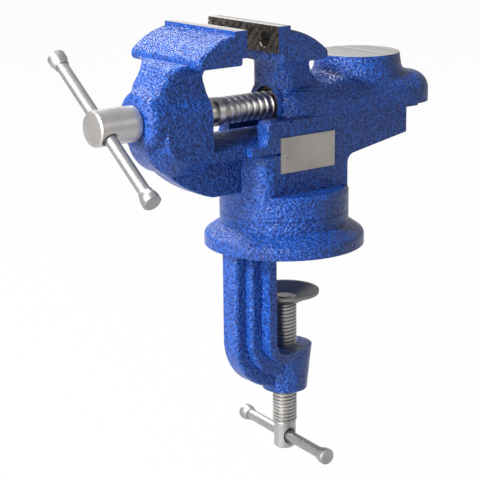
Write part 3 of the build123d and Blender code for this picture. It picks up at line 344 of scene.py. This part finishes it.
# Washers, rings, pins and the other small fixings have no entry and are zinc plated.
LOOKS = {
    "clamp_frame": paint, "vise_body": cast_paint, "moving_jaw": cast_paint,
    "front_jaw_plate": jaw_steel, "rear_jaw_plate": jaw_steel,
    "front_plate_screws": dark_steel, "rear_plate_screws": dark_steel,
    "spindle": bright_steel, "clamp_screw": screw_steel, "pressure_pad": pad_steel,
    "handle_bar": bar_steel, "handle_knob_far": bar_steel, "handle_knob_near": bar_steel,
    "clamp_bar": bar_steel, "clamp_knob_far": bar_steel, "clamp_knob_near": bar_steel,
    "name_plate": brushed_steel, "name_plate_rivets": brushed_steel,
    "spindle_nut": bronze, "swivel_lock_shoe": bronze,
}
for name, thing in nodes.items():
    thing.data.materials.clear()
    thing.data.materials.append(LOOKS.get(name, zinc_steel))


# ---- floor --------------------------------------------------------------------------------------
FLOOR_SIZE = 12.0
PAD_LOWEST = joints["pad_slide"]["range_m"][0]    # the clamp screw goes down this far from rest
FLOOR_ROOM = 4.0 * MM
FLOOR_GREY = (0.5, 0.5, 0.5, 1.0)
FLOOR_ROUGHNESS = 0.9
FLOOR_GLOW = 0.97                     # to the camera the floor is nearly plain white
FLOOR_MIRRORED = 0.4                  # and this share of that shows in polished faces


def white_backdrop():
    """Grey to the light that falls on it, and white to the camera."""
    s = Shader("white_backdrop")
    s.finish(Base_Color=FLOOR_GREY, Roughness=FLOOR_ROUGHNESS)
    rays = s.add("ShaderNodeLightPath").outputs
    mirrored = s.weighted(rays["Is Transmission Ray"], rays["Is Glossy Ray"], FLOOR_MIRRORED)
    seen = s.math("ADD", rays["Is Camera Ray"], mirrored, clamp=True)
    glow = s.add("ShaderNodeEmission")
    s.put(glow.inputs["Color"], WHITE)
    surface = s.add("ShaderNodeMixShader")
    share = s.math("MULTIPLY", seen, FLOOR_GLOW)
    s.put_each(surface.inputs, (share, s.bsdf.outputs[0], glow.outputs[0]))
    s.put(s.tree.nodes["Material Output"].inputs["Surface"], surface.outputs[0])
    return s.material


floor_level = cad_box[0][Z] + PAD_LOWEST - FLOOR_ROOM
bpy.ops.mesh.primitive_plane_add(size=FLOOR_SIZE, location=(0, 0, floor_level))
floor = bpy.context.object
floor.name = "studio_floor"
floor.data.materials.append(white_backdrop())


# ---- light --------------------------------------------------------------------------------------
AMBIENT = 0.10                        # light of the room on the surfaces
MIRRORED = 0.56                       # the same as polished metal mirrors it
LIGHT_AIM = Vector((-0.01, 0.0, 0.01))

world = bpy.data.worlds.new("studio")
bpy.context.scene.world = world
world.use_nodes = True
sky = world.node_tree.nodes["Background"]
room = Nodes(world.node_tree)
room_rays = room.add("ShaderNodeLightPath").outputs
level = room.weighted(AMBIENT, room_rays["Is Glossy Ray"], MIRRORED - AMBIENT)
level = room.weighted(level, room_rays["Is Camera Ray"], 1.0 - AMBIENT)
room.put(sky.inputs["Strength"], level)
room.put(sky.inputs["Color"], WHITE)


def look_at(thing, place, aim, roll=0.0):
    """Put a lamp or a camera in its place and turn it to its aim."""
    thing.location = place
    thing.rotation_mode = "QUATERNION"
    turn = (Vector(aim) - Vector(place)).to_track_quat("-Z", "Y")
    thing.rotation_quaternion = turn @ Quaternion((0, 0, 1), roll)
    bpy.context.scene.collection.objects.link(thing)


def lamp(name, place, size, power):
    """Round soft lamp of so many metres and watts."""
    light = bpy.data.lights.new(name, "AREA")
    light.shape = "DISK"
    light.size = size
    light.energy = power
    look_at(bpy.data.objects.new(name, light), place, LIGHT_AIM)


lamp("key_light", (-1.1, -0.05, 0.8), 0.28, 25.0)
lamp("low_light", (-1.2, -0.3, 0.12), 0.4, 9.0)
lamp("top_light", (0.0, 0.8, 1.0), 0.6, 18.0)
lamp("edge_light", (0.9, -0.9, 0.5), 0.4, 0.9)


# ---- camera -------------------------------------------------------------------------------------
# Fitted to the photo: the focal length and the camera's place, aim and roll.
FOCAL_PIXELS = 1599.75
IMAGE_PIXELS = 480
SENSOR = 36.0                         # width in millimetres
CAMERA_PLACE = (-0.52688, -0.65362, 0.22157)
CAMERA_AIM = (-0.01903, 0.01447, 0.00047)
CAMERA_ROLL = math.radians(-0.64)

camera_data = bpy.data.cameras.new("photo_camera")
camera_data.sensor_width = SENSOR
camera_data.lens = FOCAL_PIXELS / IMAGE_PIXELS * SENSOR
camera = bpy.data.objects.new("photo_camera", camera_data)
look_at(camera, CAMERA_PLACE, CAMERA_AIM, CAMERA_ROLL)
bpy.context.scene.camera = camera
bpy.context.scene.view_settings.view_transform = "Standard"
